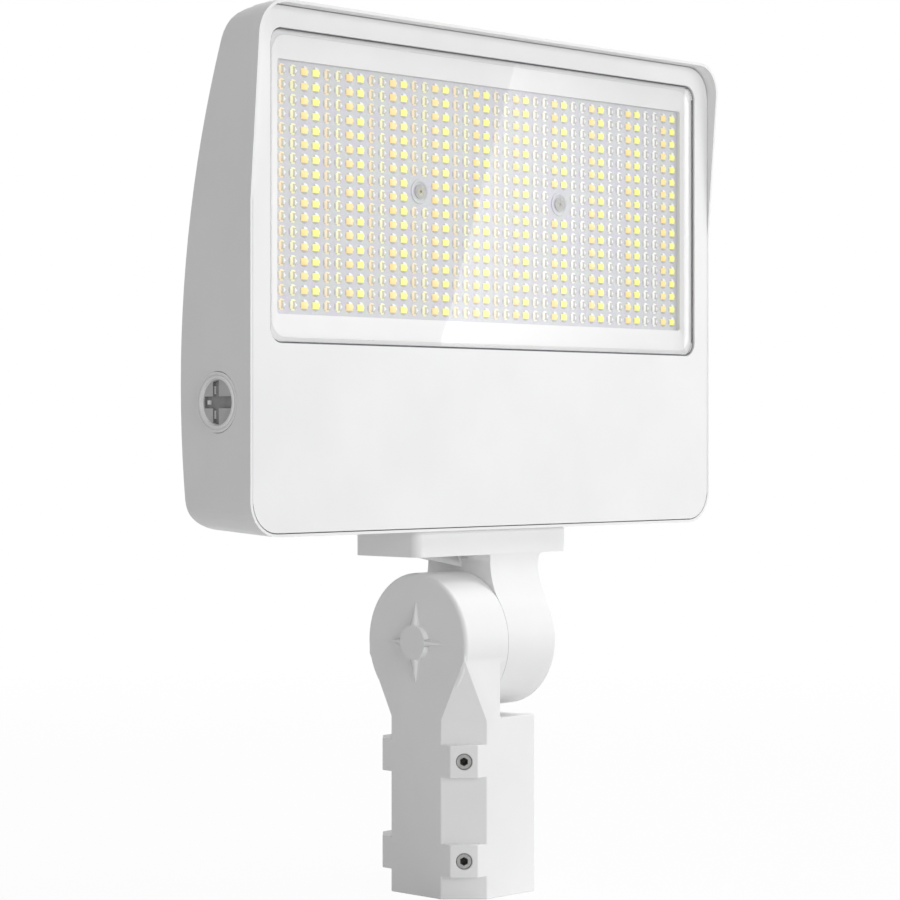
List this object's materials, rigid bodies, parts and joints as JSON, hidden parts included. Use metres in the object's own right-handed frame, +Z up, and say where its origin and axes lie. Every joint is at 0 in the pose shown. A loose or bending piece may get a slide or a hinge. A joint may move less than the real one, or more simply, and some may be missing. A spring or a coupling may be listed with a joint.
{
  "type": "flood light",
  "caption": "Outdoor flood light: thin die-cast head with visor rim, glazed lamp field and a tilting slipfitter knuckle for a pole tenon",
  "frame": {"origin": "centre of the mouth of the tenon socket", "axes": "+Z up along the socket's bore, -Y the way the light faces, +X along the head's width and the knuckle axis"},
  "size_m": [0.3984, 0.0826, 0.5142],
  "materials": {
    "white_coat": "satin white powder coat",
    "white_plastic": "satin",
    "ivory_plastic": "matte",
    "black_plastic": "matte",
    "clear_glass": "polished",
    "clear_plastic": "moulded clear",
    "silicone": "matte",
    "zinc_steel": "zinc plated",
    "stainless": "turned",
    "board_white": "white solder mask on aluminium",
    "driver_metal": "satin",
    "dark_plastic": "matte",
    "lead_red": "matte"
  },
  "bodies": {
    "base": {"slipfitter": "white_coat"},
    "head": {"housing": "white_coat", "front_cover": "white_coat", "cover_seal": "silicone", "cover_screws": "stainless", "lens_glass": "clear_glass", "lens_seal": "silicone", "trim_frame": "white_plastic", "optic_plate": "clear_plastic", "led_board": "board_white", "board_screws": "zinc_steel", "board_connector": "ivory_plastic", "led_leads": "lead_red", "driver": "driver_metal", "driver_caps": "driver_metal", "driver_screws": "zinc_steel", "surge_protector": "dark_plastic", "terminal_block": "ivory_plastic", "side_plug": "white_coat", "plug_seal": "silicone", "selector_switch": "ivory_plastic", "arm_seal": "silicone", "arm_screws": "stainless", "knuckle_arm": "white_coat"},
    "bolt": {"knuckle_bolt": "stainless", "spring_washer": "stainless", "flat_washer": "stainless"},
    "selector_knob": {"selector_slider": "black_plastic"},
    "set_screw_front_upper": {"set_screw_front_upper": "stainless"},
    "set_screw_front_lower": {"set_screw_front_lower": "stainless"},
    "set_screw_rear_upper": {"set_screw_rear_upper": "stainless"},
    "set_screw_rear_lower": {"set_screw_rear_lower": "stainless"}
  },
  "joints": [
    {"name": "aim", "type": "hinge", "parent": "base", "child": "head", "pos_m": [0, 0, 0.151], "axis": [1, 0, 0], "range_deg": [-90, 90]},
    {"name": "bolt_turn", "type": "hinge", "parent": "base", "child": "bolt", "pos_m": [0, 0, 0.151], "axis": [1, 0, 0], "range_deg": [0, 360]},
    {"name": "selector", "type": "slide", "parent": "head", "child": "selector_knob", "axis": [0, 0, 1], "range_m": [-0.0045, 0.0045]},
    {"name": "set_screw_front_upper_turn_in", "type": "slide", "parent": "base", "child": "set_screw_front_upper", "axis": [0.7071, 0.7071, 0], "range_m": [0, 0.008]},
    {"name": "set_screw_front_lower_turn_in", "type": "slide", "parent": "base", "child": "set_screw_front_lower", "axis": [0.7071, 0.7071, 0], "range_m": [0, 0.008]},
    {"name": "set_screw_rear_upper_turn_in", "type": "slide", "parent": "base", "child": "set_screw_rear_upper", "axis": [0.7071, -0.7071, 0], "range_m": [0, 0.008]},
    {"name": "set_screw_rear_lower_turn_in", "type": "slide", "parent": "base", "child": "set_screw_rear_lower", "axis": [0.7071, -0.7071, 0], "range_m": [0, 0.008]}
  ]
}
